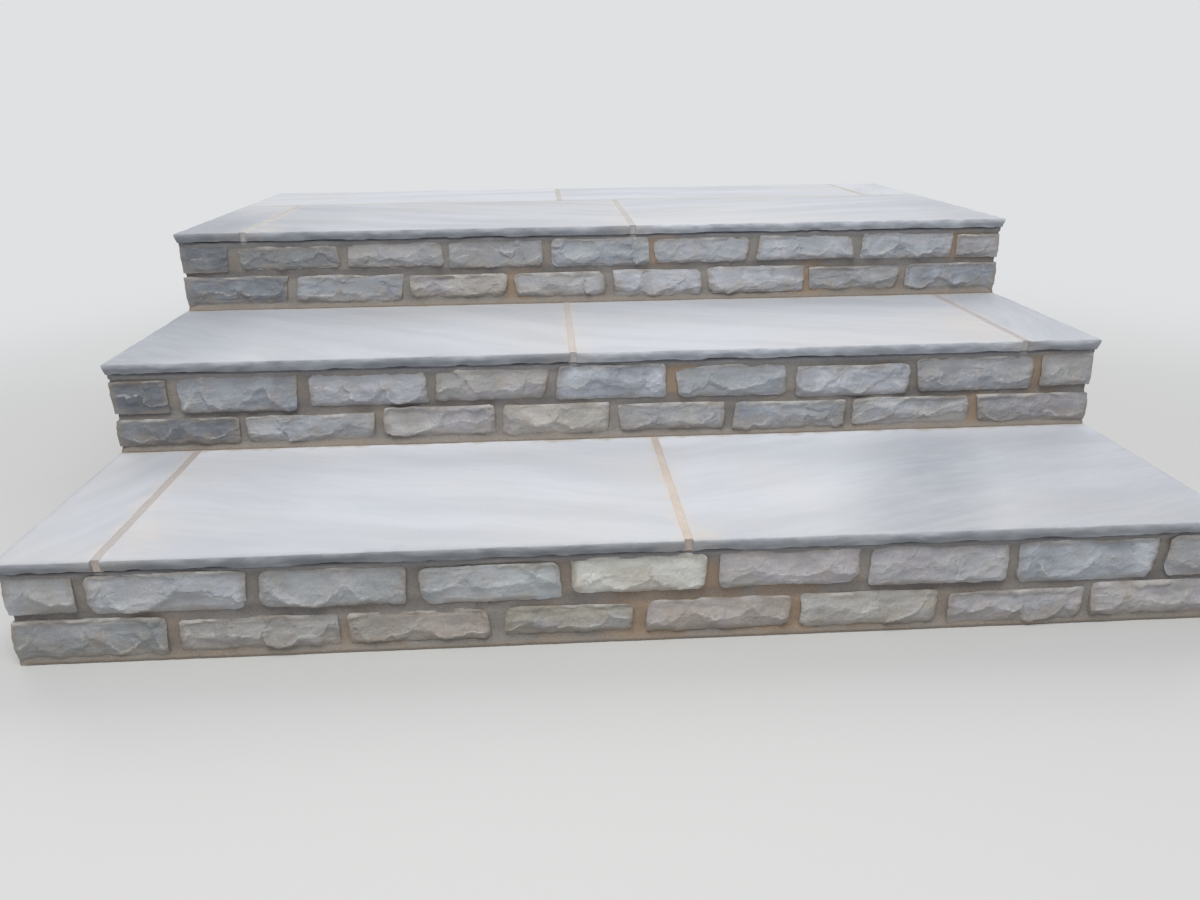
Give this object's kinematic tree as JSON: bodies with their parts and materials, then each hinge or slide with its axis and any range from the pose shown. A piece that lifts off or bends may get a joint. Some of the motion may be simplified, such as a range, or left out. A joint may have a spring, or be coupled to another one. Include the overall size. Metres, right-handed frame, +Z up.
{
  "type": "outdoor stone steps",
  "caption": "Wide free-standing outdoor stone steps: split-faced coursed walling risers, pale sandstone slab treads with dressed nosings and a landing on top.",
  "frame": {"origin": "centre of the rectangular footprint, at the level of the ground that the lowest course stands on", "axes": "+X to the right along the steps, +Y from the lowest riser back to the landing, +Z up"},
  "size_m": [1.974, 1.967, 0.549],
  "materials": {
    "paving_slab": "riven pale grey sandstone with hand-dressed edges",
    "walling_stone": "split-faced grey sandstone in tan mortar",
    "levelling_stone": "thin split offcuts of the paving sandstone",
    "bedding_mortar": "struck sandy mortar",
    "pointing": "smooth peach-coloured pointing mortar",
    "rubble_infill": "rough rubble and concrete"
  },
  "bodies": {
    "root": {"step1_front_wall": "walling_stone", "step1_left_wall": "walling_stone", "step1_right_wall": "walling_stone", "step1_infill": "rubble_infill", "step1_slab_bed": "bedding_mortar", "step1_slab_narrow": "paving_slab", "step1_slab_left": "paving_slab", "step1_slab_right": "paving_slab", "step1_pointing": "pointing", "step1_left_levelling_course": "levelling_stone", "step1_right_levelling_course": "levelling_stone", "step2_front_wall": "walling_stone", "step2_left_wall": "walling_stone", "step2_right_wall": "walling_stone", "step2_infill": "rubble_infill", "step2_slab_bed": "bedding_mortar", "step2_slab_left": "paving_slab", "step2_slab_right": "paving_slab", "step2_slab_narrow": "paving_slab", "step2_pointing": "pointing", "step2_left_levelling_course": "levelling_stone", "step2_right_levelling_course": "levelling_stone", "step3_front_wall": "walling_stone", "step3_left_wall": "walling_stone", "step3_right_wall": "walling_stone", "step3_infill": "rubble_infill", "step3_slab_bed": "bedding_mortar", "step3_slab_narrow": "paving_slab", "step3_slab_left": "paving_slab", "step3_slab_right": "paving_slab", "step3_pointing": "pointing", "landing_slab_left": "paving_slab", "landing_slab_right": "paving_slab", "landing_slab_narrow": "paving_slab", "landing_pointing": "pointing", "landing_long_pointing": "pointing", "back_wall": "walling_stone"}
  },
  "joints": []
}
